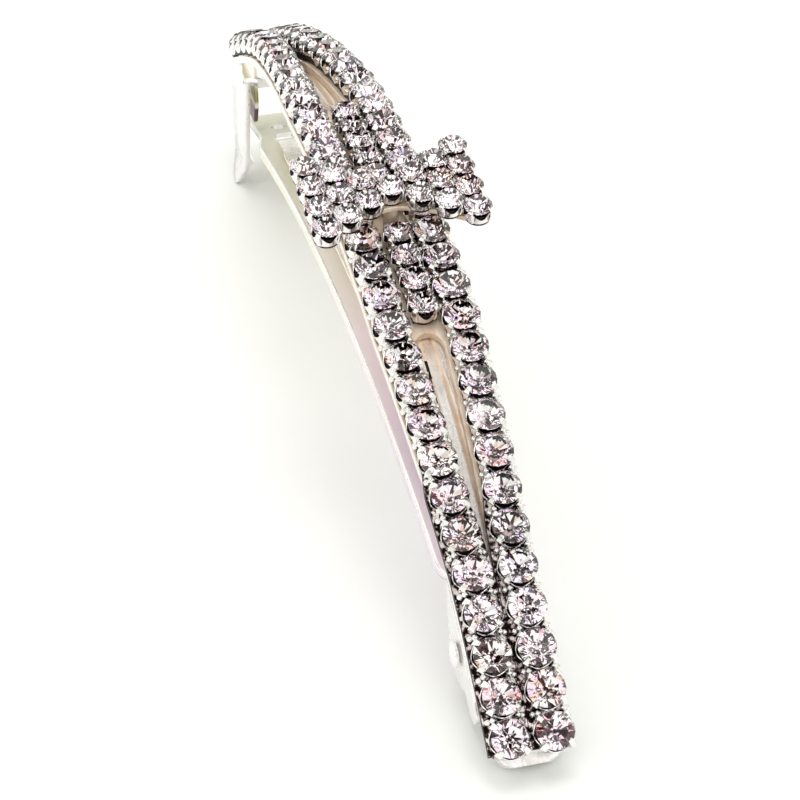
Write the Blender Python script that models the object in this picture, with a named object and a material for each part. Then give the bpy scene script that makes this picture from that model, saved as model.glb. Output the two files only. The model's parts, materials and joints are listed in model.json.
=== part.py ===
"""Rhinestone hair clip: a French (auto clasp) barrette.

The clip stands on a table with its arch up: the flanges of the hinge end and the two
catch legs touch the table.  +X runs towards the hinge, -X towards the catch, -Y is the
front of the clip, +Z is up, and the origin is on the table under the middle of the clip.

Everything is laid out first in the level frame of the arch, in millimetres, and the whole
clip is then set on the table by one parent empty.
"""
import math

import bmesh
import bpy

MM = 0.001                     # all lengths below are in millimetres

# The arch of the base plate (top face of the sheet)
PLATE_RADIUS = 62.0
PLATE_HALF_ANGLE = math.radians(38.7)
PLATE_MARGIN = 0.6             # from a row's middle line to the plate's side
PLATE_SHEET = 0.5
FLANGE_SHEET = 0.4
FLANGE_BOTTOM = -1.1
GROOVE_DEPTH = 0.2
GROOVE_HALF = 0.55
EDGE_BEND = 0.25
REST_GAP = 0.25                # between two pieces that rest on one another

# Stone frame: the stamped sheet that carries the stones, with two teardrop slots
FRAME_SHEET = 0.35
FRAME_LOW = REST_GAP
FRAME_HIGH = FRAME_LOW + FRAME_SHEET
SLOTS = {1: (12.6, 30.0), -1: (11.2, 27.5)}     # wide end and narrow end, from the middle
SLOT_ROUND = 1.3               # length of the round wide end
SLOT_LIP = 0.08

# Bar stones
ROW_STONES = 33
ROW_PITCH = 2.52               # along the base plate's top face
ROW_Y_END = 1.39
ROW_Y_MIDDLE = 2.3
ROW_SPREAD_FROM = 12.3
ROW_SPREAD_TO = 30.8
ROW_WEB_HALF = 1.15
ROW_LOW = FRAME_HIGH + REST_GAP
ROW_WEB = 0.2
GIRDLE = 1.95                  # height of the stones' widest line above the plate
TABLE_RISE = 0.6
CUP_FOOT_RADIUS = 0.95
CUP_RIM_RADIUS = 1.18
STONE_TABLE_RADIUS = 0.62
MIDDLE_SCALE = 0.8             # size of the short middle rows' stones
MIDDLE_WEB_HALF = 0.85
MIDDLE_PITCH = 2.12
MIDDLE_Y = 0.13                # the short middle rows lie nearer to the back row
MIDDLE_ROWS = (("middle_stones_hinge_side", 4.84, 4), ("middle_stones_catch_side", -9.9, 6))
SIDES = 8                      # facets round a stone or a cup

# Bow
BOW_PLACE = 3.13               # along the plate
BOW_PITCH = 2.14
BOW_COLUMNS = (("inner", 1.72, 2), ("middle", 3.36, 3), ("outer", 5.0, 4))
BOW_FRAME_LOW = 2.9
BOW_FRAME_SHEET = 0.35
BOW_MARGIN = 0.8
BOW_KNOT_HALF = 1.15
BOW_CUP_LOW = BOW_FRAME_LOW + BOW_FRAME_SHEET + REST_GAP
BOW_CUP_HEIGHT = 0.9
BOW_CUP_RADIUS = 0.92
BOW_CUP_FOOT = 0.62
BOW_CUP_WALL = 0.1
BOW_STONE_RADIUS = 0.7
BOW_STONE_TABLE = 0.42
BOW_STONE_DEPTH = 0.42
POST_RADIUS = 0.5

# Guides for cutting and joining
GUIDE_HALF = 4.0
INSET = 0.001                  # keeps a guide's face off the face that it would lie on

# Hinge
PIN_X, PIN_Z = 30.6, -13.4
PIN_RADIUS = 0.5
PIN_HALF = 2.75
PIN_HEAD_RADIUS = 0.85
PIN_HEAD = 0.25
EAR_HOLE_RADIUS = 0.65
EAR_WALL = 1.85                # metal round the pin in the ear's lobe
EAR_SETBACK = 0.2
HEEL_X, HEEL_Z, HEEL_RADIUS = 33.9, -14.75, 1.15
EAR_OUTER = 2.5
EAR_INNER = 2.1
CATCH_HALF = 2.25
CROSS_HIGH = FLANGE_BOTTOM - REST_GAP            # the brackets' cross plates, under the flanges
CROSS_LOW = CROSS_HIGH - 0.4
HINGE_CROSS = (29.0, 37.4)     # along the plate
CATCH_CROSS = (-37.4, -31.6)

# Clasp arm
ARM_START_X = 30.4
ARM_END_X = -37.0
ARM_RISE = 4.9
ARM_END_Z = -19.4
ARM_SHEET = 0.4
ARM_HALF = 2.4
ARM_ROOT_HALF = 1.7
ARM_HEAD_HALF = 1.85
ARM_SIDE = 0.95
ARM_STEPS = 30
KNUCKLE_RADIUS = 1.15
KNUCKLE_BORE = 0.75
HEAD_HOLE_X, HEAD_HOLE_RADIUS = -33.0, 0.6
HEAD_SLOT_X, HEAD_SLOT_LENGTH = -30.6, 1.5

# Tension spring, a thin bowed leaf carried on the arm
SPRING_FROM_X = 24.0
SPRING_TO_X = -28.0
SPRING_SHEET = 0.25
SPRING_HALF = 1.55
SPRING_BOW = 1.2
SPRING_STEPS = 22

# Catch legs
LEG_INNER = 2.55
LEG_SHEET = 0.4
LEG_TOP_GAP = 0.3
LEG_TOP_X = (-36.2, -30.4)
LEG_TIP_Z = -23.0
LEG_FLARE = 0.45
LEG_FLARE_DROP = 2.6
NIB = 0.33
NIB_Z = -20.1
LEG_HINGE_ANGLE = math.radians(-32.6)

# Standing pose: the table touches the flanges' lower corners at the hinge end and the leg tips
STAND_SHIFT = 1.258            # brings the middle of the clip over the origin
LEG_TIP_X = (-34.4, -33.8)
TABLE_R = PLATE_RADIUS + FLANGE_BOTTOM
HINGE_FOOT_X = TABLE_R * math.sin(PLATE_HALF_ANGLE)
HINGE_FOOT_Z = TABLE_R * math.cos(PLATE_HALF_ANGLE) - PLATE_RADIUS - GIRDLE
TABLE_SLOPE = (HINGE_FOOT_Z - LEG_TIP_Z) / (HINGE_FOOT_X - LEG_TIP_X[1])
STAND_TILT = math.atan(TABLE_SLOPE)
STAND_HEIGHT = HINGE_FOOT_X * math.sin(STAND_TILT) - HINGE_FOOT_Z * math.cos(STAND_TILT)

for old in list(bpy.data.objects):
    bpy.data.objects.remove(old, do_unlink=True)

stand = bpy.data.objects.new("clip_stand", None)
bpy.context.scene.collection.objects.link(stand)
stand.location = (STAND_SHIFT * MM, 0.0, STAND_HEIGHT * MM)
stand.rotation_euler = (0.0, STAND_TILT, 0.0)


def material(name, colour, roughness, metallic):
    """Make a Principled material from a colour, a roughness and a metallic value."""
    mat = bpy.data.materials.new(name)
    mat.use_nodes = True
    shader = mat.node_tree.nodes["Principled BSDF"]
    shader.inputs["Base Color"].default_value = (*colour, 1.0)
    shader.inputs["Roughness"].default_value = roughness
    shader.inputs["Metallic"].default_value = metallic
    mat.diffuse_color = (*colour, 1.0)
    return mat


SILVER = material("silver_plate", (0.86, 0.83, 0.80), 0.16, 1.0)
SPRING_STEEL = material("spring_steel", (0.82, 0.80, 0.79), 0.22, 1.0)
CLAW_SILVER = material("claw_silver", (0.84, 0.81, 0.79), 0.2, 1.0)
WARM_SHEET = material("warm_sheet", (0.88, 0.76, 0.62), 0.24, 1.0)
CRYSTAL = material("clear_crystal", (0.93, 0.91, 0.94), 0.04, 0.0)


def bar_point(s, height, y):
    """Point at distance s along the plate's top face, raised by height off it."""
    angle = s / PLATE_RADIUS
    r = PLATE_RADIUS + height
    return (r * math.sin(angle), y, r * math.cos(angle) - PLATE_RADIUS - GIRDLE)


def underside_z(x, height):
    """Level of the surface at the given height off the plate, above the place x."""
    r = PLATE_RADIUS + height
    return math.sqrt(r * r - x * x) - PLATE_RADIUS - GIRDLE


def make_object(name, points, faces, mat, origin=(0.0, 0.0, 0.0), smooth=False):
    """Build one closed body from points in millimetres, with its origin where asked."""
    mesh = bpy.data.meshes.new(name)
    mesh.from_pydata([[(c - o) * MM for c, o in zip(p, origin)] for p in points], [], faces)
    bm = bmesh.new()
    bm.from_mesh(mesh)
    bmesh.ops.recalc_face_normals(bm, faces=bm.faces)
    bm.to_mesh(mesh)
    bm.free()
    mesh.materials.append(mat)
    if smooth:
        mesh.shade_smooth()
        mesh.set_sharp_from_angle(angle=math.radians(35))
    obj = bpy.data.objects.new(name, mesh)
    bpy.context.scene.collection.objects.link(obj)
    obj.location = [c * MM for c in origin]
    obj.parent = stand
    return obj


def loft(rings):
    """Faces of a body through rings with the same number of points, capped at both ends."""
    n = len(rings[0])
    points = [p for ring in rings for p in ring]
    faces = []
    for i in range(len(rings) - 1):
        for k in range(n):
            a, b = i * n + k, i * n + (k + 1) % n
            faces.append((a, b, b + n, a + n))
    last = (len(rings) - 1) * n
    faces.append(tuple(range(n)))
    faces.append(tuple(range(last, last + n)))
    return points, faces


def spaced(first, last, count):
    """Evenly spaced values, both ends included."""
    return [first + (last - first) * i / (count - 1) for i in range(count)]


def ease(t):
    """Smooth step from 0 to 1."""
    t = min(1.0, max(0.0, t))
    return t * t * (3.0 - 2.0 * t)


def circle(centre, radius, level, sides=SIDES):
    """Ring of points round a vertical axis in the level frame."""
    return [(centre[0] + radius * math.cos(2 * math.pi * k / sides),
             centre[1] + radius * math.sin(2 * math.pi * k / sides), level)
            for k in range(sides)]


def upright_circle(x, z, radius, y, sides=16):
    """Ring of points round an axis along Y."""
    return [(x + radius * math.cos(2 * math.pi * k / sides), y,
             z + radius * math.sin(2 * math.pi * k / sides)) for k in range(sides)]


def pin_guide(name, radius, half):
    """Round guide body on the hinge's axis."""
    rings = [upright_circle(PIN_X, PIN_Z, radius, y) for y in (-half, half)]
    return make_object(name, *loft(rings), SILVER)


def boolean(obj, tool, operation):
    """Join a tool body to an object or cut it away; the tool itself is only a guide."""
    tool.hide_render = True
    tool.display_type = "WIRE"
    step = obj.modifiers.new(tool.name, "BOOLEAN")
    step.operation = operation
    step.solver = "EXACT"
    step.object = tool


# ---- base plate: an arched channel with a shallow groove down its middle ---------------

def row_y(s):
    """Distance of a stone row from the middle line."""
    t = (abs(s) - ROW_SPREAD_FROM) / (ROW_SPREAD_TO - ROW_SPREAD_FROM)
    return ROW_Y_MIDDLE + (ROW_Y_END - ROW_Y_MIDDLE) * min(1.0, max(0.0, t))


def plate_section(s):
    """Cross-section of the channel at s as (y, height), going round once."""
    width = row_y(s) + PLATE_MARGIN
    flat = width - FLANGE_SHEET
    half = [(width, FLANGE_BOTTOM), (width, -EDGE_BEND), (width - EDGE_BEND, 0.0),
            (GROOVE_HALF, 0.0), (0.6 * GROOVE_HALF, -GROOVE_DEPTH)]
    under = [(0.5 * GROOVE_HALF, -PLATE_SHEET - GROOVE_DEPTH),
             (0.9 * GROOVE_HALF, -PLATE_SHEET), (flat, -PLATE_SHEET), (flat, FLANGE_BOTTOM)]
    top = half + [(-y, h) for y, h in reversed(half)]
    bottom = [(-y, h) for y, h in reversed(under)] + under
    return top + bottom


PLATE_HALF_LENGTH = PLATE_RADIUS * PLATE_HALF_ANGLE
PLATE_STATIONS = 33

rings = []
for s in spaced(-PLATE_HALF_LENGTH, PLATE_HALF_LENGTH, PLATE_STATIONS):
    rings.append([bar_point(s, h, y) for y, h in plate_section(s)])
make_object("base_plate", *loft(rings), SILVER)


# ---- stone frame -----------------------------------------------------------------------

def slot_half(s):
    """Half width of the teardrop slot, or zero where the sheet is whole."""
    d = abs(s)
    start, end = SLOTS[1 if s > 0.0 else -1]
    if d <= start + 1e-6 or d >= end - 1e-6:
        return 0.0
    wide = row_y(d) - ROW_Y_END + SLOT_LIP
    t = min(1.0, (d - start) / SLOT_ROUND)
    return wide * math.sqrt(1.0 - (1.0 - t) ** 2)


def side_stations(side):
    """Distances from the middle where the frame's outline turns, on one side of it."""
    start, end = SLOTS[side]
    places = spaced(0.0, start, 6) + [start + SLOT_ROUND * f for f in (0.12, 0.4, 1.0)]
    places += spaced(start + SLOT_ROUND, end, 9)[1:]
    return places + spaced(end, PLATE_HALF_LENGTH, 7)[1:]


def frame_stations():
    """Places along the plate where the frame's outline turns."""
    return [-s for s in reversed(side_stations(-1)[1:])] + side_stations(1)


def build_frame():
    """Sheet with two slots, built station by station on both of its faces."""
    points, faces, rows = [], [], []
    stations = frame_stations()
    for s in stations:
        q, w = slot_half(s), row_y(s) + ROW_WEB_HALF + 0.05
        row = {}
        for level, height in (("low", FRAME_LOW), ("high", FRAME_HIGH)):
            places = [-w, -q, q, w] if q > 0.0 else [-w, 0.0, w]
            first = len(points)
            points.extend(bar_point(s, height, y) for y in places)
            index = list(range(first, first + len(places)))
            row[level] = index if q > 0.0 else [index[0], index[1], index[1], index[2]]
        rows.append(row)
    for a, b in zip(rows, rows[1:]):
        for i, j in ((0, 1), (2, 3)):
            for level in ("low", "high"):
                faces.append((a[level][i], a[level][j], b[level][j], b[level][i]))
        for i in (0, 3):
            faces.append((a["low"][i], b["low"][i], b["high"][i], a["high"][i]))
        if a["low"][1] != a["low"][2] or b["low"][1] != b["low"][2]:
            for i in (1, 2):
                faces.append((a["low"][i], b["low"][i], b["high"][i], a["high"][i]))
    for row in (rows[0], rows[-1]):
        faces.append((row["low"][0], row["low"][1], row["low"][3],
                      row["high"][3], row["high"][1], row["high"][0]))
    make_object("stone_frame", points, faces, WARM_SHEET)


build_frame()


# ---- stone rows: claw cups on a web, each with its stone ---------------------------------

def stone_row(name, centres, pitch, y_at, web_half, scale):
    """One chain of set stones: the web, the cups and the stones' crowns as one body."""
    points, faces = [], []

    def add(s, height, y):
        points.append(bar_point(s, height, y))
        return len(points) - 1

    marks = [centres[0] - pitch / 2] + [c + d for c in centres for d in (0.0, pitch / 2)]
    web_top = ROW_LOW + ROW_WEB
    top = [[add(s, web_top, y_at(s) + k * web_half) for k in (-1, 0, 1)] for s in marks]
    low = [[add(s, ROW_LOW, y_at(s) + k * web_half) for k in (-1, 1)] for s in marks]
    for i in range(len(marks) - 1):
        faces.append((low[i][0], low[i][1], low[i + 1][1], low[i + 1][0]))
        faces.append((low[i][0], top[i][0], top[i + 1][0], low[i + 1][0]))
        faces.append((low[i][1], top[i][2], top[i + 1][2], low[i + 1][1]))
    for i in (0, -1):
        faces.append((low[i][0], low[i][1], top[i][2], top[i][1], top[i][0]))
    for n, centre in enumerate(centres):
        a, b, c = top[2 * n], top[2 * n + 1], top[2 * n + 2]
        ring = [c[1], c[2], b[2], a[2], a[1], a[0], b[0], c[0]]
        for radius, height in ((CUP_FOOT_RADIUS, web_top), (CUP_RIM_RADIUS, GIRDLE),
                               (STONE_TABLE_RADIUS, GIRDLE + TABLE_RISE)):
            r = radius * scale
            new = [add(centre + r * math.cos(t), height, y_at(centre) + r * math.sin(t))
                   for t in (2 * math.pi * k / SIDES for k in range(SIDES))]
            for k in range(SIDES):
                j = (k + 1) % SIDES
                faces.append((ring[k], ring[j], new[j], new[k]))
            ring = new
        faces.append(tuple(ring))
    make_object(name, points, faces, CRYSTAL)


row_centres = [ROW_PITCH * (i - (ROW_STONES - 1) / 2) for i in range(ROW_STONES)]
stone_row("front_stone_row", row_centres, ROW_PITCH, lambda s: -row_y(s), ROW_WEB_HALF, 1.0)
stone_row("back_stone_row", row_centres, ROW_PITCH, row_y, ROW_WEB_HALF, 1.0)
for name, first, count in MIDDLE_ROWS:
    middle = [first + MIDDLE_PITCH * i for i in range(count)]
    stone_row(name, middle, MIDDLE_PITCH, lambda s: MIDDLE_Y, MIDDLE_WEB_HALF, MIDDLE_SCALE)


# ---- bow -------------------------------------------------------------------------------

def bow_body(name, rings, mat, smooth=False):
    """Body of the bow: rings laid out flat, then set square to the arch at the bow's place."""
    angle = BOW_PLACE / PLATE_RADIUS
    placed = []
    for ring in rings:
        placed.append([])
        for x, y, height in ring:
            r = PLATE_RADIUS + height
            placed[-1].append((r * math.sin(angle) + x * math.cos(angle), y,
                               r * math.cos(angle) - x * math.sin(angle) - PLATE_RADIUS - GIRDLE))
    make_object(name, *loft(placed), mat, smooth=smooth)


def bow_outline():
    """Bow-tie outline as (x, y), wide at the lobes and narrow at the knot."""
    corners = [(BOW_KNOT_HALF, 0.0)]
    for _, y, count in BOW_COLUMNS:
        corners.append(((count - 1) * BOW_PITCH / 2 + BOW_MARGIN, y))
    end = BOW_COLUMNS[-1]
    corners.append(((end[2] - 1) * BOW_PITCH / 2 + 0.55 * BOW_MARGIN, end[1] + 0.8 * BOW_MARGIN))
    right_front = [(x, -y) for x, y in corners[1:]]
    left_front = [(-x, y) for x, y in reversed(right_front)]
    right_back = [(x, -y) for x, y in reversed(right_front)]
    left_back = [(-x, y) for x, y in reversed(right_back)]
    knot = corners[0]
    return [knot] + right_front + left_front + [(-knot[0], 0.0)] + left_back + right_back


bow_rings = [[(x, y, level) for x, y in bow_outline()]
             for level in (BOW_FRAME_LOW, BOW_FRAME_LOW + BOW_FRAME_SHEET)]
bow_body("bow_frame", bow_rings, WARM_SHEET)

post_rings = [circle((0.0, 0.0), POST_RADIUS, level, 12)
              for level in (FRAME_HIGH + REST_GAP, BOW_FRAME_LOW - REST_GAP)]
bow_body("bow_post", post_rings, SILVER, smooth=True)


def bow_setting(tag, x, y):
    """A claw cup and the stone that it holds, as two bodies."""
    low = BOW_CUP_LOW
    rim = low + BOW_CUP_HEIGHT
    profile = ((BOW_CUP_FOOT, low), (BOW_CUP_RADIUS, rim), (BOW_CUP_RADIUS - BOW_CUP_WALL, rim),
               (0.5 * BOW_CUP_FOOT, low + 0.25))
    rings = [circle((x, y), radius, level) for radius, level in profile]
    bow_body("bow_cup_" + tag, rings, CLAW_SILVER)
    girdle = rim - 0.02
    stone = ((0.12, girdle - BOW_STONE_DEPTH), (BOW_STONE_RADIUS, girdle),
             (BOW_STONE_RADIUS, girdle + 0.08), (BOW_STONE_TABLE, girdle + 0.45))
    rings = [circle((x, y), radius, level) for radius, level in stone]
    bow_body("bow_stone_" + tag, rings, CRYSTAL)


bow_setting("knot", 0.0, 0.0)
for side, sign in (("front", -1), ("back", 1)):
    for column, y, count in BOW_COLUMNS:
        for i in range(count):
            x = BOW_PITCH * ((count - 1) / 2 - i)
            bow_setting("%s_%s_%d" % (side, column, i + 1), x, sign * y)


# ---- hinge bracket, pin and catch bracket ----------------------------------------------

def cross_plate(name, start, end, half):
    """Arched strip under the base plate's flanges."""
    section = [(-half, CROSS_HIGH), (half, CROSS_HIGH), (half, CROSS_LOW), (-half, CROSS_LOW)]
    rings = [[bar_point(s, h, y) for y, h in section] for s in spaced(start, end, 5)]
    return make_object(name, *loft(rings), SILVER)


def ear_outline():
    """Scalloped ear in the (x, z) plane: its top follows the cross plate."""
    middle = (CROSS_HIGH + CROSS_LOW) / 2
    high, low = HINGE_CROSS[1] - EAR_SETBACK, HINGE_CROSS[0] + EAR_SETBACK
    top = [bar_point(s, middle, 0.0) for s in spaced(high, low, 5)]
    outline = [(x, z) for x, _, z in top]
    lobe = PIN_RADIUS + EAR_WALL
    for k in range(9):
        angle = math.radians(188 + 16 * k)
        outline.append((PIN_X + lobe * math.cos(angle), PIN_Z + lobe * math.sin(angle)))
    for k in range(5):
        angle = math.radians(230 + 32 * k)
        outline.append((HEEL_X + HEEL_RADIUS * math.cos(angle),
                        HEEL_Z + HEEL_RADIUS * math.sin(angle)))
    return outline


hinge_bracket = cross_plate("hinge_bracket", *HINGE_CROSS, EAR_OUTER)
for side, sign in (("front", -1), ("back", 1)):
    rings = [[(x, sign * y, z) for x, z in ear_outline()] for y in (EAR_INNER, EAR_OUTER - INSET)]
    ear = make_object("ear_guide_" + side, *loft(rings), SILVER)
    boolean(hinge_bracket, ear, "UNION")
bore = pin_guide("ear_bore_guide", EAR_HOLE_RADIUS, GUIDE_HALF)
boolean(hinge_bracket, bore, "DIFFERENCE")

pin_profile = ((-PIN_HALF - PIN_HEAD, PIN_HEAD_RADIUS), (-PIN_HALF, PIN_HEAD_RADIUS),
               (-PIN_HALF, PIN_RADIUS), (PIN_HALF, PIN_RADIUS),
               (PIN_HALF, PIN_HEAD_RADIUS), (PIN_HALF + PIN_HEAD, PIN_HEAD_RADIUS))
pin_rings = [upright_circle(PIN_X, PIN_Z, r, y) for y, r in pin_profile]
make_object("hinge_pin", *loft(pin_rings), SILVER, smooth=True)

cross_plate("catch_bracket", *CATCH_CROSS, CATCH_HALF)


# ---- clasp arm and its spring ----------------------------------------------------------

ARM_START_Z = PIN_Z + KNUCKLE_RADIUS - ARM_SHEET / 2


def arm_z(x):
    """Middle of the arm's sheet at x: a shallow arch from the knuckle to the head."""
    u = (ARM_START_X - x) / (ARM_START_X - ARM_END_X)
    return ARM_START_Z + (ARM_END_Z - ARM_START_Z) * u + 4.0 * ARM_RISE * u * (1.0 - u)


def arm_half(x):
    """Half width: narrow at the knuckle, full along the arm, narrow again at the head."""
    root = ease((ARM_START_X - 3.8 - x) / 2.2)
    head = ease((x - ARM_END_X - 5.5) / 3.0)
    tip = math.sqrt(max(0.0, 1.0 - max(0.0, 1.0 - (x - ARM_END_X) / 1.4) ** 2))
    half = ARM_ROOT_HALF + (ARM_HALF - ARM_ROOT_HALF) * root
    half = ARM_HEAD_HALF + (half - ARM_HEAD_HALF) * head
    return half * (0.45 + 0.55 * tip)


def arm_side(x):
    """Depth of the arm's turned-down sides."""
    root = ease((ARM_START_X - 3.8 - x) / 3.0)
    head = ease((x - ARM_END_X - 5.5) / 3.0)
    return ARM_SHEET + 0.05 + (ARM_SIDE - ARM_SHEET) * min(root, head)


def along(x, lift):
    """Point on the arm's arch at x, lifted square to the sheet, as (x, z)."""
    slope = (arm_z(x + 0.01) - arm_z(x - 0.01)) / 0.02
    n = math.hypot(slope, 1.0)
    return x - lift * slope / n, arm_z(x) + lift / n


def arm_ring(x):
    """Channel section of the arm at x."""
    w, side, wall = arm_half(x), arm_side(x), 0.35
    top, under = ARM_SHEET / 2, -ARM_SHEET / 2
    section = [(w, top - side), (w, top), (-w, top), (-w, top - side),
               (-w + wall, top - side), (-w + wall, under), (w - wall, under),
               (w - wall, top - side)]
    ring = []
    for y, lift in section:
        px, pz = along(x, lift)
        ring.append((px, y, pz))
    return ring


stations = spaced(ARM_START_X, ARM_END_X + 2.0, ARM_STEPS)
stations += [ARM_END_X + f for f in (1.2, 0.6, 0.2, 0.0)]
pin_place = (PIN_X, 0.0, PIN_Z)
clasp_arm = make_object("clasp_arm", *loft([arm_ring(x) for x in stations]), SILVER, pin_place)
knuckle = pin_guide("knuckle_guide", KNUCKLE_RADIUS, ARM_ROOT_HALF - INSET)
boolean(clasp_arm, knuckle, "UNION")
bore = pin_guide("knuckle_bore_guide", KNUCKLE_BORE, GUIDE_HALF)
boolean(clasp_arm, bore, "DIFFERENCE")

hole_rings = [circle((HEAD_HOLE_X, 0.0), HEAD_HOLE_RADIUS, arm_z(HEAD_HOLE_X) + d, 12)
              for d in (-GUIDE_HALF, GUIDE_HALF)]
hole = make_object("head_hole_guide", *loft(hole_rings), SILVER)
boolean(clasp_arm, hole, "DIFFERENCE")
slot = [(HEAD_SLOT_X - HEAD_SLOT_LENGTH / 2, 0.55), (HEAD_SLOT_X + HEAD_SLOT_LENGTH / 2, 0.95),
        (HEAD_SLOT_X + HEAD_SLOT_LENGTH / 2, -0.95), (HEAD_SLOT_X - HEAD_SLOT_LENGTH / 2, -0.55)]
slot_rings = [[(x, y, arm_z(HEAD_SLOT_X) + d) for x, y in slot] for d in (-GUIDE_HALF, GUIDE_HALF)]
slot_tool = make_object("head_slot_guide", *loft(slot_rings), SILVER)
boolean(clasp_arm, slot_tool, "DIFFERENCE")


def spring_ring(x):
    """Flat section of the spring leaf, standing a little off the arm and bowed up."""
    u = (SPRING_FROM_X - x) / (SPRING_FROM_X - SPRING_TO_X)
    lift = ARM_SHEET / 2 + REST_GAP + SPRING_BOW * 4.0 * u * (1.0 - u)
    taper = SPRING_HALF * (0.7 + 0.3 * ease(min(u, 1.0 - u) / 0.12))
    ring = []
    top = lift + SPRING_SHEET
    for y, h in ((-taper, lift), (taper, lift), (taper, top), (-taper, top)):
        px, pz = along(x, h)
        ring.append((px, y, pz))
    return ring


spring_rings = [spring_ring(x) for x in spaced(SPRING_FROM_X, SPRING_TO_X, SPRING_STEPS)]
make_object("tension_spring", *loft(spring_rings), SPRING_STEEL, pin_place)


# ---- catch legs ------------------------------------------------------------------------

LEG_TOP = FLANGE_BOTTOM - LEG_TOP_GAP
LEG_HINGE = bar_point(PLATE_RADIUS * LEG_HINGE_ANGLE, LEG_TOP, 0.0)


def table_z(x):
    """Level of the table in the frame of the arch."""
    return LEG_TIP_Z + TABLE_SLOPE * (x - LEG_TIP_X[1])


def leg_rings(sign):
    """Leg from its top edge, square under the flange, down to the round finger tip."""
    left, right = LEG_TOP_X
    steps = [(left, underside_z(left, LEG_TOP), right, underside_z(right, LEG_TOP), 0.0)]
    for z, x0, x1, nib in ((-16.6, -36.3, -31.3, 0.0), (NIB_Z + NIB, -36.2, -31.8, 0.0),
                           (NIB_Z, -36.1, -31.9, NIB), (NIB_Z - NIB, -36.0, -32.0, 0.0),
                           (-21.0, -35.8, -32.3, 0.0), (LEG_TIP_Z + 1.0, -35.3, -32.9, 0.0),
                           (LEG_TIP_Z + 0.3, -34.9, -33.3, 0.0)):
        steps.append((x0, z, x1, z, nib))
    steps.append((LEG_TIP_X[0], table_z(LEG_TIP_X[0]), LEG_TIP_X[1], LEG_TIP_Z, 0.0))
    rings = []
    for x0, z0, x1, z1, nib in steps:
        ring = []
        for x, z, face in ((x0, z0, 1), (x1, z1, 1), (x1, z1, 0), (x0, z0, 0)):
            flare = LEG_FLARE * ease((NIB_Z - NIB - z) / LEG_FLARE_DROP)
            y = LEG_INNER + flare + face * LEG_SHEET - (0 if face else nib)
            ring.append((x, sign * y, z))
        rings.append(ring)
    return rings


for side, sign in (("front", -1), ("back", 1)):
    place = (LEG_HINGE[0], sign * (LEG_INNER + LEG_SHEET / 2), LEG_HINGE[2])
    make_object(side + "_catch_leg", *loft(leg_rings(sign)), SPRING_STEEL, place)
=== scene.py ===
"""Looks of the rhinestone hair clip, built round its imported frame.

Lengths are in millimetres in the clip's level frame: z = 0 at the stones' girdle on top of
the arch, +X towards the hinge, -Y to the front.  STAND sets that frame on the table, and it
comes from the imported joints.
"""
import json
import math
import random

import bmesh
import bpy
from mathutils import Matrix, Vector


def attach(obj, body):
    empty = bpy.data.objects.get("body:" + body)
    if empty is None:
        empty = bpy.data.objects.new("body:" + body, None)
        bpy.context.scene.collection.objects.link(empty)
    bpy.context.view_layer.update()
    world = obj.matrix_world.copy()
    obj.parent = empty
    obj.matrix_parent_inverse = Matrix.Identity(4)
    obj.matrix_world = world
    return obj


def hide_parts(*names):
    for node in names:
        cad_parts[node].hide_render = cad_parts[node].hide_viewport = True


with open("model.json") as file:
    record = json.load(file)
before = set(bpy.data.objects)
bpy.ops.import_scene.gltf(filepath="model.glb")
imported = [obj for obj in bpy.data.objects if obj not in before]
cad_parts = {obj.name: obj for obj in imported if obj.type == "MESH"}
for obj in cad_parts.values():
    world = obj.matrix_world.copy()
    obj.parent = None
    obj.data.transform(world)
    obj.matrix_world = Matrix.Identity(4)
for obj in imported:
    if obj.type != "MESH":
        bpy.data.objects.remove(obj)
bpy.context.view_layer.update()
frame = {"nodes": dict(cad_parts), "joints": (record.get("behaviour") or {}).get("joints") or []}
joints = {j["name"]: j for j in frame["joints"]}

MM = 0.001
CHANCE = random.Random(11)

# ---- the clip's own sizes, as its design states them ----
PLATE_RADIUS = 62.0
PLATE_HALF_LENGTH = PLATE_RADIUS * math.radians(38.7)
PLATE_MARGIN = 0.6
PLATE_SHEET = 0.5
FLANGE_SHEET = 0.4
FLANGE_BOTTOM = -1.1
GIRDLE = 1.95
FRAME_TOP = 0.6
SLOTS = {1: (12.6, 30.0), -1: (11.2, 27.5)}
SLOT_ROUND = 1.3
SLOT_LIP = 0.08
ROW_STONES = 33
ROW_PITCH = 2.52
ROW_Y_END, ROW_Y_MIDDLE = 1.39, 2.3
ROW_SPREAD_FROM, ROW_SPREAD_TO = 12.3, 30.8
MIDDLE_ROWS = (("hinge_side", 4.84, 4), ("catch_side", -9.9, 6))
MIDDLE_PITCH, MIDDLE_Y, MIDDLE_SCALE = 2.12, 0.13, 0.8
BOW_PLACE = 3.13
BOW_PITCH = 2.14
BOW_COLUMNS = (("inner", 1.72, 2), ("middle", 3.36, 3), ("outer", 5.0, 4))
BOW_SHEET_LOW, BOW_SHEET_TOP = 2.9, 3.25
BOW_GIRDLE = 4.38
PIN_X, PIN_Z = 30.6, -13.4
LEG_HINGE_ANGLE = math.radians(32.6)
CROSS_HIGH, CROSS_LOW, EAR_TOP = -1.12, -1.75, -1.4
HINGE_CROSS = (29.0, 37.4)
CATCH_CROSS = (-37.4, -31.6)
ARM_START_X, ARM_END_X, ARM_END_Z, ARM_RISE = 30.4, -37.0, -19.4, 4.9
ARM_SHEET, ARM_WALL, ARM_SIDE = 0.4, 0.35, 0.95
ARM_ROOT_HALF, ARM_HALF, ARM_HEAD_HALF = 1.7, 2.4, 1.85
KNUCKLE_RADIUS, KNUCKLE_BORE = 1.15, 0.75
SPRING_FROM_X, SPRING_TO_X = 24.0, -28.0
SPRING_SHEET, SPRING_HALF, SPRING_BOW, SPRING_GAP = 0.25, 1.55, 1.2, 0.25
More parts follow.
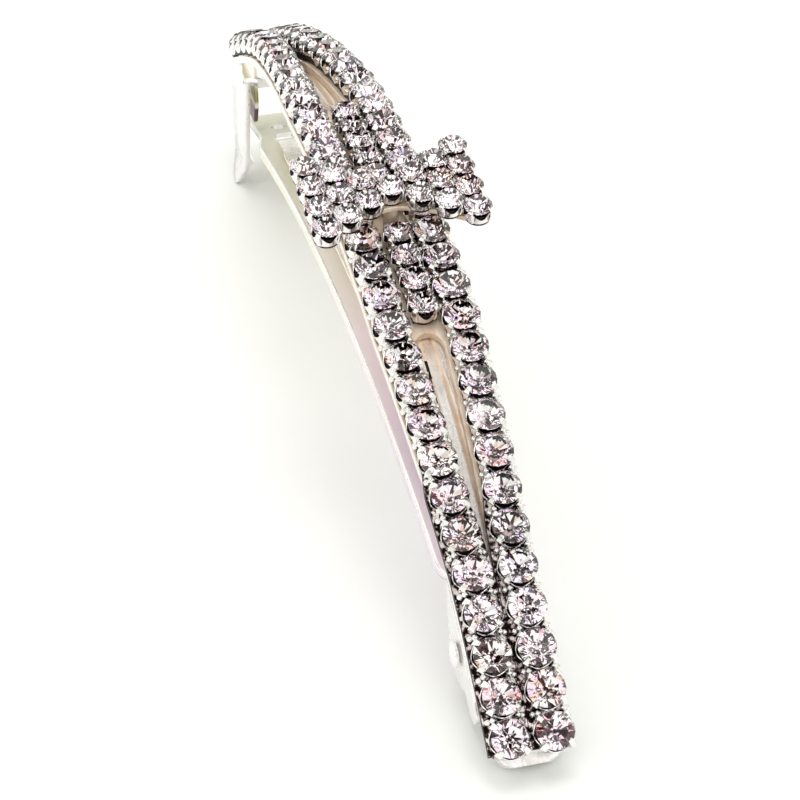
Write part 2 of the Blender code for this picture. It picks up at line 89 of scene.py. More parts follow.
LEG_INNER, LEG_SHEET, LEG_TOP, LEG_TIP_Z = 2.55, 0.4, -1.4, -23.0
LEG_FLARE, LEG_FLARE_DROP, NIB, NIB_Z = 0.45, 2.6, 0.33, -20.1

# ---- the level frame's place in the row frame ----
leg_axis = Vector(joints["front_leg_flex"]["axis"])
TILT = LEG_HINGE_ANGLE - math.atan2(leg_axis.z, leg_axis.x)
TURN = Matrix.Rotation(TILT, 4, "Y")
PIN_PLACE = Vector(joints["clasp_arm_hinge"]["pos_m"])
STAND = Matrix.Translation(PIN_PLACE - TURN @ (Vector((PIN_X, 0.0, PIN_Z)) * MM)) @ TURN


def arch(s, height, y):
    """Point at distance s along the plate's top face, raised by height off it."""
    angle = s / PLATE_RADIUS
    r = PLATE_RADIUS + height
    return Vector((r * math.sin(angle), y, r * math.cos(angle) - PLATE_RADIUS - GIRDLE))


def setting_matrix(s, y, height):
    """Frame of a setting on the arch: X along it, Z square off it."""
    origin = arch(s, height, y)
    return Matrix.Translation(origin) @ Matrix.Rotation(s / PLATE_RADIUS, 4, "Y")


def ease(t):
    t = min(1.0, max(0.0, t))
    return t * t * (3.0 - 2.0 * t)


def spaced(first, last, count):
    return [first + (last - first) * i / (count - 1) for i in range(count)]


def row_y(s):
    """Distance of a stone row from the middle line."""
    t = (abs(s) - ROW_SPREAD_FROM) / (ROW_SPREAD_TO - ROW_SPREAD_FROM)
    return ROW_Y_MIDDLE + (ROW_Y_END - ROW_Y_MIDDLE) * min(1.0, max(0.0, t))


# ---- materials ----

DRAWN_LINES = (60.0, 1500.0, 1500.0)
FINE = 0.00002


def colour_ramp(tree, source, stops):
    """Colour ramp from (position, colour) stops; a colour may be one number."""
    made = tree.nodes.new("ShaderNodeValToRGB")
    elements = made.color_ramp.elements
    while len(elements) < len(stops):
        elements.new(0.5)
    for element, (position, colour) in zip(elements, stops):
        element.position = position
        if isinstance(colour, float):
            colour = (colour,) * 3
        element.color = (*colour, 1.0)
    tree.links.new(source, made.inputs["Fac"])
    return made.outputs["Color"]


class Shader:
    """Small helper that builds one Principled material node by node."""

    def __init__(self, name, roughness=0.2, metallic=0.0, **sockets):
        self.mat = bpy.data.materials.new(name)
        self.mat.use_nodes = True
        self.tree = self.mat.node_tree
        self.main = self.tree.nodes["Principled BSDF"]
        self.place = self.tree.nodes.new("ShaderNodeTexCoord").outputs["Object"]
        self.main.inputs["Roughness"].default_value = roughness
        self.main.inputs["Metallic"].default_value = metallic
        for socket, value in sockets.items():
            self.main.inputs[socket.replace("_", " ")].default_value = value

    def node(self, kind, **values):
        made = self.tree.nodes.new("ShaderNode" + kind)
        for key, value in values.items():
            if key in made.inputs:
                made.inputs[key].default_value = value
            else:
                setattr(made, key, value)
        return made

    def link(self, source, target):
        self.tree.links.new(source, target)

    def noise(self, scale, detail=3.0, stretch=None):
        """Noise over the object, in metres; stretch draws it out along an axis."""
        made = self.node("TexNoise", Scale=scale, Detail=detail)
        source = self.place
        if stretch:
            mapping = self.node("Mapping")
            mapping.inputs["Scale"].default_value = stretch
            self.link(source, mapping.inputs["Vector"])
            source = mapping.outputs["Vector"]
        self.link(source, made.inputs["Vector"])
        return made.outputs["Fac"]

    def along(self, axis, low, high, mirrored=False):
        """How far from low to high a point lies, in metres along an axis of the object."""
        split = self.node("SeparateXYZ")
        self.link(self.place, split.inputs["Vector"])
        source = split.outputs[axis]
        if mirrored:
            size = self.node("Math", operation="ABSOLUTE")
            self.link(source, size.inputs[0])
            source = size.outputs["Value"]
        made = self.node("MapRange")
        made.inputs["From Min"].default_value = low
        made.inputs["From Max"].default_value = high
        self.link(source, made.inputs["Value"])
        return made.outputs["Result"]

    def clouded(self, source, cloud, share):
        """The source with a share of the cloud mixed in."""
        made = self.node("Mix", data_type="FLOAT")
        made.inputs["Factor"].default_value = share
        self.link(source, made.inputs["A"])
        self.link(cloud, made.inputs["B"])
        return made.outputs["Result"]

    def colour(self, source, stops):
        self.link(colour_ramp(self.tree, source, stops), self.main.inputs["Base Color"])

    def rough(self, source, low, high):
        self.link(colour_ramp(self.tree, source, ((0.3, low), (0.7, high))),
                  self.main.inputs["Roughness"])

    def bump(self, source, strength, distance):
        made = self.node("Bump", Strength=strength, Distance=distance)
        self.link(source, made.inputs["Height"])
        self.link(made.outputs["Normal"], self.main.inputs["Normal"])


def finish_plate(made, low, high, grain, lines=DRAWN_LINES):
    """Give a plated surface its fine wear and its drawn lines."""
    made.rough(made.noise(900.0, 6.0), low, high)
    made.bump(made.noise(1.0, 4.0, lines), grain, FINE)
    return made.mat


def plated_metal(name, tints, low, high, grain, lines=DRAWN_LINES, cloud_stretch=None,
                 metallic=1.0):
    """Bright plate with cloudy tint, drawn lines along the sheet and fine wear."""
    made = Shader(name, metallic=metallic)
    made.colour(made.noise(260.0, 4.0, cloud_stretch), tints)
    return finish_plate(made, low, high, grain, lines)


SILVER = plated_metal("bright_plate", ((0.25, (0.84, 0.81, 0.79)), (0.75, (0.95, 0.94, 0.93))),
                      0.14, 0.30, 0.12, metallic=0.75)
STEEL = plated_metal("bright_steel", ((0.25, (0.84, 0.81, 0.81)), (0.75, (0.95, 0.94, 0.94))),
                     0.16, 0.30, 0.16)
LEAF = plated_metal("spring_leaf", ((0.25, (0.95, 0.92, 0.84)), (0.75, (0.99, 0.98, 0.93))),
                    0.22, 0.34, 0.16)
CLAW = plated_metal("claw_plate", ((0.3, (0.88, 0.85, 0.83)), (0.7, (0.98, 0.97, 0.96))),
                    0.10, 0.26, 0.05, (900.0, 900.0, 900.0))
WARM_STREAKS = (0.3, 6.0, 6.0)
WARM = plated_metal("warm_sheet_metal", ((0.35, (0.78, 0.59, 0.43)), (0.65, (0.98, 0.86, 0.72))),
                    0.34, 0.50, 0.12, cloud_stretch=WARM_STREAKS, metallic=0.3)
# The dark edge material is painted shade, for the lower edges of the arm's turned-down sides.
SHADED_EDGE = plated_metal("painted_shade_edge", ((0.3, (0.36, 0.30, 0.28)), (0.7, (0.62, 0.54, 0.52))),
                    0.24, 0.40, 0.12, metallic=0.7)


def gap_shade_material():
    """Bottom of the gaps between cups: dark painted shade, with bright flecks of plate and solder.
    """
    made = Shader("gap_painted_shade_flecks", metallic=1.0)
    made.colour(made.noise(2600.0, 3.0), ((0.42, (0.01, 0.006, 0.006)), (0.50, (0.05, 0.03, 0.03)),
                                          (0.56, (0.70, 0.60, 0.58)), (0.66, (0.98, 0.92, 0.90))))
    made.rough(made.noise(1800.0), 0.15, 0.4)
    made.bump(made.noise(3000.0, 3.0), 0.8, 0.0001)
    return made.mat


def groove_material():
    """Bottom of the plate's groove: warm by the middle rows, bright plate further out."""
    made = Shader("groove_plate", metallic=0.6)
    warm = colour_ramp(made.tree, made.noise(260.0, 4.0, WARM_STREAKS),
                       ((0.35, (0.72, 0.54, 0.42)), (0.65, (0.97, 0.86, 0.75))))
    mix = made.node("Mix", data_type="RGBA")
    made.link(made.along("X", 0.0135, 0.0185, mirrored=True), mix.inputs["Factor"])
    made.link(warm, mix.inputs["A"])
    mix.inputs["B"].default_value = (0.98, 0.96, 0.94, 1.0)
    made.link(mix.outputs["Result"], made.main.inputs["Base Color"])
    return finish_plate(made, 0.2, 0.34, 0.1)


def arm_painted_light_material():
    """Arm plate coloured along its length with painted light: rose along the arm and lilac by the
    hinge as painted reflections, dull olive painted shade towards its head.
    """
    made = Shader("arm_painted_reflection_and_shade", metallic=0.5)
    place = made.clouded(made.along("X", -0.03, 0.03), made.noise(260.0, 4.0), 0.12)
    made.colour(place, ((0.04, (0.84, 0.81, 0.66)), (0.30, (0.87, 0.85, 0.74)),
                        (0.45, (0.92, 0.86, 0.82)), (0.55, (0.94, 0.83, 0.87)),
                        (0.72, (0.80, 0.69, 0.80)), (0.90, (0.84, 0.74, 0.84))))
    return finish_plate(made, 0.28, 0.40, 0.10)


def cheek_painted_light_material():
    """Cheek of the catch, banded by height with painted light and shade: pale at its top, then
    olive painted shade, a bright band and dark plum painted shade.
    """
    made = Shader("catch_cheek", metallic=0.7, roughness=0.3)
    level = made.clouded(made.along("Z", 0.006, 0.012), made.noise(600.0), 0.08)
    made.colour(level, ((0.08, (0.86, 0.78, 0.76)), (0.15, (0.22, 0.09, 0.13)),
                        (0.36, (0.17, 0.07, 0.10)), (0.40, (0.92, 0.88, 0.84)),
                        (0.45, (0.92, 0.89, 0.80)), (0.50, (0.34, 0.29, 0.10)),
                        (0.62, (0.42, 0.36, 0.15)), (0.76, (0.90, 0.87, 0.78))))
    made.bump(made.noise(900.0), 0.1, 0.00003)
    return made.mat


def painted_shade_material():
    """Dull near-black painted shade for the inside of a cup, the gaps round it, and the shaded
    strips on the plate and sheet.
    """
    made = Shader("painted_shade_dark", roughness=0.5, metallic=0.6)
    made.colour(made.noise(1500.0), ((0.35, (0.004, 0.003, 0.003)), (0.75, (0.05, 0.035, 0.03))))
    made.bump(made.noise(4000.0), 0.2, FINE)
    return made.mat


def glass_material():
    made = Shader("cut_crystal", roughness=0.0, IOR=1.62, Transmission_Weight=1.0)
    made.colour(made.noise(240.0), ((0.3, (0.99, 0.95, 0.98)), (0.7, (1.0, 0.98, 0.98))))
    return made.mat


def foil_material(name, low, high):
    """Mirror foil under a stone's facet, in one of the tints that its lacquer throws."""
    made = Shader(name, roughness=0.03, metallic=1.0)
    made.colour(made.noise(700.0, 2.0), ((0.35, low), (0.65, high)))
    return made.mat


ARM_REFLECTION_AND_SHADE = arm_painted_light_material()
GROOVE = groove_material()
PAINTED_SHADE = painted_shade_material()
GAP_SHADE_FLECKS = gap_shade_material()
GLASS = glass_material()
FOILS = [foil_material("foil_white", (0.93, 0.89, 0.92), (0.99, 0.97, 0.97)),
         foil_material("foil_pink", (0.90, 0.66, 0.72), (0.97, 0.84, 0.88)),
         foil_material("foil_lilac", (0.70, 0.62, 0.86), (0.88, 0.80, 0.95)),
         foil_material("foil_peach", (0.92, 0.62, 0.50), (0.97, 0.84, 0.76)),
         foil_material("foil_red", (0.85, 0.40, 0.40), (0.95, 0.60, 0.58)),
         # The last foil is painted shade: near-black facets that stand for dark reflections in the
         # stones.
         foil_material("foil_shade", (0.02, 0.01, 0.01), (0.10, 0.05, 0.05))]
FOIL_SHARES = (60, 14, 6, 6, 1, 13)


# ---- mesh helpers ----

def add_object(name, mesh, body, matrix=None):
    """Shown piece that rides a body; without a matrix its mesh is stood on the table."""
    if matrix is None:
        mesh.transform(STAND)
    obj = bpy.data.objects.new(name, mesh)
    bpy.context.scene.collection.objects.link(obj)
    if matrix is not None:
        obj.matrix_world = matrix
    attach(obj, body)
    return obj


def smooth(mesh, sharp):
    """Smooth shading that leaves edges over the angle in degrees crisp."""
    mesh.shade_smooth()
    mesh.set_sharp_from_angle(angle=math.radians(sharp))


def mesh_from(name, points, faces, mats, marks=None, sharp=35.0):
    """Mesh in metres from points in millimetres; marks gives each face's material."""
    mesh = bpy.data.meshes.new(name)
    mesh.from_pydata([Vector(p) * MM for p in points], [], faces)
    for mat in mats:
        mesh.materials.append(mat)
    if marks:
        mesh.polygons.foreach_set("material_index", marks)
    bm = bmesh.new()
    bm.from_mesh(mesh)
    bmesh.ops.recalc_face_normals(bm, faces=bm.faces)
    bm.to_mesh(mesh)
    bm.free()
    if sharp:
        smooth(mesh, sharp)
    return mesh


def circle(x, y, radius, count=32):
    return [(x + radius * math.cos(2 * math.pi * k / count),
             y + radius * math.sin(2 * math.pi * k / count)) for k in range(count)]


def loft(rings):
    """Skin over rings with the same number of points, capped at both ends."""
    n = len(rings[0])
    points = [p for ring in rings for p in ring]
    faces = []
    for i in range(len(rings) - 1):
        for k in range(n):
            a, b = i * n + k, i * n + (k + 1) % n
            faces.append((a, b, b + n, a + n))
    last = (len(rings) - 1) * n
    return points, faces + [tuple(range(n)), tuple(range(last, last + n))]


def face_middle(face, points):
    return sum((Vector(points[i]) for i in face), Vector()) / len(face)


def rounded(outline, radius, steps=3):
    """Outline with its corners rounded, each by the radius or what its sides allow."""
    made = []
    count = len(outline)
    for i in range(count):
        before, here, after = (Vector(outline[j % count]) for j in (i - 1, i, i + 1))
        to_before, to_after = before - here, after - here
        cut = min(radius, 0.45 * to_before.length, 0.45 * to_after.length)
        start = here + to_before.normalized() * cut
        end = here + to_after.normalized() * cut
        for k in range(steps + 1):
            t = k / steps
            made.append(start * (1 - t) ** 2 + here * 2 * t * (1 - t) + end * t * t)
    return made


def cut_plate(name, outlines, thickness, edge, mats, matrix):
    """Flat sheet part with soft edges: the first outline is its shape, the rest are holes."""
    curve = bpy.data.curves.new(name, "CURVE")
    curve.dimensions = "2D"
    curve.fill_mode = "BOTH"
    curve.extrude = (thickness / 2 - edge) * MM
    curve.bevel_depth = edge * MM
    curve.bevel_resolution = 2
    curve.offset = -edge * MM
    for outline in outlines:
        line = curve.splines.new("POLY")
        line.points.add(len(outline) - 1)
        for point, place in zip(line.points, outline):
            point.co = (place[0] * MM, place[1] * MM, 0.0, 1.0)
        line.use_cyclic_u = True
    shape = bpy.data.objects.new(name + "_curve", curve)
    bpy.context.scene.collection.objects.link(shape)
    mesh = bpy.data.meshes.new_from_object(shape)
    bpy.data.objects.remove(shape)
    mesh.name = name
    mesh.transform(matrix)
    mesh.materials.clear()
    for mat in mats:
        mesh.materials.append(mat)
    smooth(mesh, 50)
    return mesh


def merged(name, meshes):
    """One mesh from several that use the same materials."""
    bm = bmesh.new()
    for mesh in meshes:
        bm.from_mesh(mesh)
    whole = bpy.data.meshes.new(name)
    bm.to_mesh(whole)
    bm.free()
    for mat in meshes[0].materials:
        whole.materials.append(mat)
    return whole


# ---- stones and their cups ----

TABLE_SHARE, STAR_SHARE = 0.60, 0.24
GIRDLE_EDGE = 0.03


def brilliant(girdle, crown, depth):
    """Round stone: points, faces and a mark for each face (0 cut glass, 1 foil-backed).

    The crown has a table, eight main facets and sixteen small ones by the girdle.  The pavilion
    has narrow facets that run from the girdle nearly to the point, which give the stone its star.
    """
    points, faces, marks = [], [], []
    sides = 8

    def ring(radius, level, count, turn=0.0):
        first = len(points)
        for k in range(count):
            angle = 2 * math.pi * (k + turn) / count
            points.append((radius * math.cos(angle), radius * math.sin(angle), level))
        return list(range(first, first + count))

    top = ring(TABLE_SHARE * girdle, crown, sides)
    upper = ring(girdle, GIRDLE_EDGE, 2 * sides)
    lower = ring(girdle, -GIRDLE_EDGE, 2 * sides)
    faces.append(tuple(top))
    for k in range(sides):
        j = (k + 1) % sides
        faces.append((top[k], top[j], upper[2 * k + 1]))
        faces.append((top[k], upper[2 * k + 1], upper[2 * k]))
        faces.append((top[j], upper[(2 * k + 2) % (2 * sides)], upper[2 * k + 1]))
    for k in range(2 * sides):
        j = (k + 1) % (2 * sides)
        faces.append((upper[k], upper[j], lower[j], lower[k]))
    marks += [0] * len(faces)
    star = STAR_SHARE * girdle
    star_level = -GIRDLE_EDGE - (depth - GIRDLE_EDGE) * (1.0 - 1.06 * STAR_SHARE)
    under = ring(star, star_level, sides, 0.5)
    points.append((0.0, 0.0, -depth))
    culet = len(points) - 1
    for k in range(sides):
        back = (k - 1) % sides
        faces.append((under[k], lower[2 * k], lower[2 * k + 1]))
        faces.append((under[k], lower[2 * k + 1], lower[(2 * k + 2) % (2 * sides)]))
        faces.append((under[back], lower[2 * k], under[k]))
        faces.append((culet, under[back], under[k]))
    marks += [1] * (len(faces) - len(marks))
    return points, faces, marks


CLAWS = 4
CLAW_TURN = math.pi / 4


def revolve(profile, sides, scallop=0.0):
    """Turned shell from (radius, level, share of scallop) steps, closed on itself."""
    points, faces = [], []
    n = sides
    for radius, level, share in profile:
        for k in range(n):
            angle = 2 * math.pi * k / n
            dip = scallop * share * (0.5 - 0.5 * math.cos(CLAWS * (angle - math.pi / CLAWS)))
            points.append((radius * math.cos(angle), radius * math.sin(angle), level - dip))
    for i in range(len(profile)):
        j = (i + 1) % len(profile)
        for k in range(n):
            m = (k + 1) % n
            faces.append((i * n + k, i * n + m, j * n + m, j * n + k))
    return points, faces


def claw(angle, foot, bulge, tip, levels, half_width, thick):
    """One prong that rises beside the stone and bends over its girdle."""
    rings = []
    low, shoulder, top = levels
    path = ((foot, low), (bulge, low + 0.5 * (shoulder - low)), (bulge, shoulder),
            (0.5 * (bulge + tip), 0.35 * shoulder + 0.65 * top), (tip, top))
    out = Vector((math.cos(angle), math.sin(angle), 0.0))
    side = Vector((-math.sin(angle), math.cos(angle), 0.0))
    for i, (radius, level) in enumerate(path):
        before, after = path[max(0, i - 1)], path[min(len(path) - 1, i + 1)]
        run = Vector((after[0] - before[0], after[1] - before[1])).normalized()
        normal = out * run.y - Vector((0.0, 0.0, 1.0)) * run.x
        taper = 1.0 if i < 3 else (0.82, 0.55)[i - 3]
        centre = out * radius + Vector((0.0, 0.0, level))
        corners = rounded([(-half_width * taper, -thick / 2), (half_width * taper, -thick / 2),
                           (half_width * taper, thick / 2), (-half_width * taper, thick / 2)],
                          0.4 * thick, 1)
        rings.append([centre + side * c.x + normal * c.y for c in corners])
    return loft(rings)


class Chain:
    """Collects many small shapes into one mesh."""

    def __init__(self):
        self.points, self.faces, self.marks = [], [], []

    def add(self, shape, matrix, mark=None):
        points, faces = shape[0], shape[1]
        first = len(self.points)
        self.points.extend(matrix @ Vector(p) for p in points)
        self.faces.extend(tuple(first + i for i in face) for face in faces)
        self.marks.extend(shape[2] if mark is None else [mark] * len(faces))

    def mesh(self, name, mats, sharp):
        return mesh_from(name, self.points, self.faces, mats, self.marks, sharp)


def cup_shapes(size, low, girdle):
    """Cup from level low for a stone of girdle radius size, with its girdle at level girdle.

    Gives the wall, the seat painted dark as shade, and the claws, each as (shape, mark).
    """
    rim = girdle - 0.10
    height = rim - low
    wall = revolve(((0.80 * size, low, 0.0), (0.92 * size, low + 0.35 * height, 0.0),
                    (1.05 * size, rim, 1.0), (1.00 * size, rim, 1.0),
                    (0.86 * size, low + 0.35 * height, 0.0), (0.70 * size, low + 0.05, 0.0)),
                   32, 0.42 * height)
    seat = revolve(((0.02, low + 0.06, 0.0), (0.85 * size, low + 0.05, 0.0),
                    (0.93 * size, girdle - 0.34, 0.0), (0.06, low + 0.12, 0.0)), 24)
    shapes = [(wall, 0), (seat, 1)]
    for k in range(CLAWS):
        angle = CLAW_TURN + 2 * math.pi * k / CLAWS
        prong = claw(angle, 0.96 * size, 1.09 * size, 0.80 * size,
                     (low + 0.3 * height, girdle - 0.02, girdle + 0.20 * size),
                     0.20 * size, 0.15 * size)
        shapes.append((prong, 0))
    return shapes


def with_foils(shape):
    """The stone with a foil chosen for each facet of its pavilion."""
    points, faces, marks = shape
    choice = iter(CHANCE.choices(range(1, len(FOILS) + 1), FOIL_SHARES, k=sum(marks)))
    return points, faces, [next(choice) if mark else 0 for mark in marks]


def wobble(amount):
    """Random turn of a stone in its cup, with a lean of up to the amount in degrees."""
    turn = Matrix.Rotation(CHANCE.uniform(0.0, math.pi / 4), 4, "Z")
    lean = Matrix.Rotation(math.radians(CHANCE.uniform(-amount, amount)), 4, "X")
    nod = Matrix.Rotation(math.radians(CHANCE.uniform(-amount, amount)), 4, "Y")
    return lean @ nod @ turn


STONE_RADIUS, STONE_CROWN, STONE_DEPTH = 1.2, 0.5, 0.92
STONE_LEAN, BOW_STONE_LEAN = 4.0, 5.0


def chain_row(label, places, scale, nodes, shade_side=0):
    """Cups and stones of one bar row, standing for its CAD node."""
    cups, stones = Chain(), Chain()
    shape = brilliant(STONE_RADIUS * scale, STONE_CROWN * scale, STONE_DEPTH * scale)
    shapes = cup_shapes(STONE_RADIUS * scale, FRAME_TOP, GIRDLE)
    for s, y, turn in places:
        base = setting_matrix(s, y, 0.0) @ Matrix.Rotation(turn, 4, "Z")
        for part, mark in shapes:
            cups.add(part, base, mark)
        stones.add(with_foils(shape),
                   base @ Matrix.Translation((0.0, 0.0, GIRDLE)) @ wobble(STONE_LEAN))
    # The web strip is painted shade: flecked dark on its top, near-black on its other faces.
    strip = web_strip(places, scale, shade_side)
    marks = [2 if i % 4 == 1 and i < len(strip[1]) - 2 else 1 for i in range(len(strip[1]))]
    cups.add((strip[0], strip[1], marks), Matrix.Identity(4))
    add_beads(cups, places, scale)
    cup_obj = add_object(label + "_cups", cups.mesh(label + "_cups", [CLAW, PAINTED_SHADE, GAP_SHADE_FLECKS], 40),
                         "clip_body")
    stone_obj = add_object(label + "_stones", stones.mesh(label + "_stones", [GLASS] + FOILS, 0),
                           "clip_body")
    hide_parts(*nodes)


def bead(radius):
    """Small domed prong end."""
    rings = []
    for angle in (-60, -25, 10, 40, 65, 82):
        a = math.radians(angle)
        rings.append([(x, y, radius * math.sin(a))
                      for x, y in circle(0.0, 0.0, radius * math.cos(a), 10)])
    return loft(rings)


BEAD_RADIUS = 0.21
BEADS = ((0.80, 1.72), (1.08, 1.45))


def add_beads(cups, places, scale):
    """Prong ends in the corners between neighbouring cups, on both sides of the row."""
    shape = bead(BEAD_RADIUS * scale)
    for (s0, y0, _), (s1, y1, _) in zip(places, places[1:]):
        for side in (-1, 1):
            for off, level in BEADS:
                y = (y0 + y1) / 2 + side * off * scale
                jog = CHANCE.uniform(-0.08, 0.08)
                place = setting_matrix((s0 + s1) / 2 + jog, y, level)
                cups.add(shape, place, 0)


STRIP_LOW, STRIP_TOP = 0.75, 1.15


def near_hinge(s):
    """0 along most of the bar, rising to 1 by its hinge end."""
    return ease((s - 22.0) / 3.0)


def web_strip(places, scale, shade_side):
    """Dark strip that joins a row's cups below their rims.

    By the bar's ends, where the rows run close together, it fills the gap between them, and
    along the front of the hinge end it stands out past the cups as a painted shadow line.
    """
    rings = []
    (s_first, y_first, _), (s_last, y_last, _) = places[0], places[-1]
    ends = [(s_first - 0.9 * scale, y_first, 0.0)] + list(places)
    ends.append((s_last + 0.9 * scale, y_last, 0.0))
    for (s0, y0, _), (s1, y1, _) in zip(ends, ends[1:]):
        for k in range(8):
            t = k / 8
            y = y0 + (y1 - y0) * t
            s = s0 + (s1 - s0) * t
            inner = 1.0 * scale
            if abs(y) > 1.0:
                inner += 0.37 * ease((1.75 - abs(y)) / 0.2)
            outer = 0.95 * scale + 0.40 * shade_side * near_hinge(s)
            left, right = (-outer, inner) if y < 0 else (-inner, outer)
            rings.append([arch(s, h, y + w) for w, h in ((right, STRIP_LOW), (right, STRIP_TOP),
                                                         (left, STRIP_TOP), (left, STRIP_LOW))])
    return loft(rings)


def row_turn(s, sign):
    """How far the row runs off the bar's own direction at s."""
    slope = (row_y(s + 0.1) - row_y(s - 0.1)) / 0.2
    return math.atan(sign * slope)


def build_rows():
    centres = [ROW_PITCH * (i - (ROW_STONES - 1) / 2) for i in range(ROW_STONES)]
    for label, sign in (("front", -1), ("back", 1)):
        places = [(s, sign * row_y(s), row_turn(s, sign)) for s in centres]
        chain_row(label + "_row", places, 1.0, [label + "_stone_row"],
                  1 if sign < 0 else 0)
    for label, first, count in MIDDLE_ROWS:
        places = [(first + MIDDLE_PITCH * i, MIDDLE_Y, 0.0) for i in range(count)]
        chain_row("middle_" + label, places, MIDDLE_SCALE, ["middle_stones_" + label])


# ---- bow ----

BOW_STONE, BOW_CROWN, BOW_DEPTH = 0.93, 0.46, 0.72
BOW_MATRIX = setting_matrix(BOW_PLACE, 0.0, 0.0)


def bow_places():
    yield "knot", 0.0, 0.0
    for side, sign in (("front", -1), ("back", 1)):
        for column, y, count in BOW_COLUMNS:
            for i in range(count):
                yield ("%s_%s_%d" % (side, column, i + 1), BOW_PITCH * ((count - 1) / 2 - i),
                       sign * y)


def build_bow():
    cup = Chain()
    for part, mark in cup_shapes(BOW_STONE, BOW_SHEET_TOP, BOW_GIRDLE):
        cup.add(part, Matrix.Identity(4), mark)
    cup_mesh = cup.mesh("bow_cup", [CLAW, PAINTED_SHADE], 40)
    shape = brilliant(BOW_STONE, BOW_CROWN, BOW_DEPTH)
    to_metres = Matrix.Scale(MM, 4)
    for tag, x, y in bow_places():
        base = STAND @ to_metres @ BOW_MATRIX @ Matrix.Translation((x, y, 0.0))
        base = base @ Matrix.Scale(1.0 / MM, 4)
        cup_obj = add_object("set_cup_" + tag, cup_mesh, "clip_body", base)
        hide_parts("bow_cup_" + tag)
        lift = Matrix.Translation((0.0, 0.0, BOW_GIRDLE * MM))
        stone = Chain()
        stone.add(with_foils(shape), Matrix.Identity(4))
        stone_mesh = stone.mesh("bow_stone_" + tag + "_cut", [GLASS] + FOILS, 0)
        stone_obj = add_object("set_stone_" + tag, stone_mesh, "clip_body",
                               base @ lift @ wobble(BOW_STONE_LEAN))
        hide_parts("bow_stone_" + tag)
    build_bow_sheet()


def build_bow_sheet():
    corners = [(0.8, 0.0)]
    for _, y, count in BOW_COLUMNS:
        corners.append(((count - 1) * BOW_PITCH / 2 + 0.15, y))
    corners.append((1.5 * BOW_PITCH, BOW_COLUMNS[-1][1] + 0.3))
    front_right = [(x, -y) for x, y in corners[1:]]
    front_left = [(-x, y) for x, y in reversed(front_right)]
    back_left = [(x, -y) for x, y in reversed(front_left)]
    back_right = [(x, -y) for x, y in reversed(front_right)]
    outline = [corners[0]] + front_right + front_left + [(-corners[0][0], 0.0)]
    outline += back_left + back_right
    middle = (BOW_SHEET_LOW + BOW_SHEET_TOP) / 2
    place = Matrix.Scale(MM, 4) @ BOW_MATRIX @ Matrix.Translation((0.0, 0.0, middle))
    mesh = cut_plate("bow_sheet", [rounded(outline, 0.5)], BOW_SHEET_TOP - BOW_SHEET_LOW, 0.08,
                     [WARM], place @ Matrix.Scale(1.0 / MM, 4))
    sheet = add_object("bow_sheet", mesh, "clip_body")
    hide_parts("bow_frame")
    frame["nodes"]["bow_post"].material_slots[0].material = WARM


# ---- base plate and stone frame ----

PLATE_CORNER = 0.9
GROOVE_FROM, GROOVE_TO, GROOVE_DEPTH, GROOVE_RUN = 14.5, 33.5, 0.3, 2.5
WARM_TO_X, WARM_HALF = 31.0, 1.5
GROOVE_HALF, SHADE_HALF, TOP_LEVEL = 0.33, 0.52, -0.36


def plate_half(s):
    """Half width of the plate, with its end corners rounded."""
    into = max(0.0, abs(s) - (PLATE_HALF_LENGTH - PLATE_CORNER)) / PLATE_CORNER
    fall = 1.0 - math.sqrt(max(0.0, 1.0 - into * into))
    return row_y(s) + PLATE_MARGIN - PLATE_CORNER * fall


def plate_mark(centre):
    """Material of a plate face: 0 bright, 1 warm, 2 painted shade strip along the groove's front
    side, 3 bottom of the groove.
    """
    up = Vector((centre.x, 0.0, centre.z + PLATE_RADIUS + GIRDLE)).length - PLATE_RADIUS
    if up <= TOP_LEVEL or abs(centre.y) >= WARM_HALF or abs(centre.x) >= WARM_TO_X:
        return 0
    if abs(centre.y) < GROOVE_HALF:
        return 3
    return 2 if -SHADE_HALF < centre.y < 0.0 and centre.x > GROOVE_FROM else 1


def build_plate():
    """Arched channel with rolled edges and a shallow groove along each half of its top."""
    rings = []
    straight = PLATE_HALF_LENGTH - PLATE_CORNER
    ends = [straight + PLATE_CORNER * math.sin(math.radians(a)) for a in (22, 45, 66, 80, 90)]
    stations = [-s for s in reversed(ends)] + spaced(-straight, straight, 121) + ends
    for s in stations:
        w = plate_half(s)
        inner = w - FLANGE_SHEET
        into = min(abs(s) - GROOVE_FROM, GROOVE_TO - abs(s))
        deep = GROOVE_DEPTH * ease(into / GROOVE_RUN)
        top = [(w, FLANGE_BOTTOM), (w, 0.0), (0.50, 0.0), (0.34, -0.03 - deep)]
        low = [(0.22, -PLATE_SHEET - 0.03 - deep), (0.62, -PLATE_SHEET), (inner, -PLATE_SHEET),
               (inner, FLANGE_BOTTOM)]
        outline = top + [(-y, h) for y, h in reversed(top)]
        outline += [(-y, h) for y, h in reversed(low)] + low
        rings.append([arch(s, p.y, p.x) for p in rounded(outline, 0.16, 3)])
    points, faces = loft(rings)
    marks = [plate_mark(face_middle(face, points)) for face in faces[:-2]] + [0, 0]
    mesh = mesh_from("curved_plate", points, faces, [SILVER, WARM, PAINTED_SHADE, GROOVE], marks, sharp=30)
    plate = add_object("curved_plate", mesh, "clip_body")
    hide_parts("base_plate")


def slot_half(s):
    """Half width of the teardrop slot, or zero where the sheet is whole."""
    d = abs(s)
    start, end = SLOTS[1 if s > 0.0 else -1]
    if d <= start + 1e-6 or d >= end - 1e-6:
        return 0.0
    wide = row_y(d) - ROW_Y_END + SLOT_LIP
    t = min(1.0, (d - start) / SLOT_ROUND)
    return wide * math.sqrt(1.0 - (1.0 - t) ** 2)


FRAME_LOW = 0.03
FRAME_END = PLATE_HALF_LENGTH - 0.7
FRAME_MARGIN, FRAME_STEP_IN = 1.12, 0.16
SHADED_FROM_X = 24.0


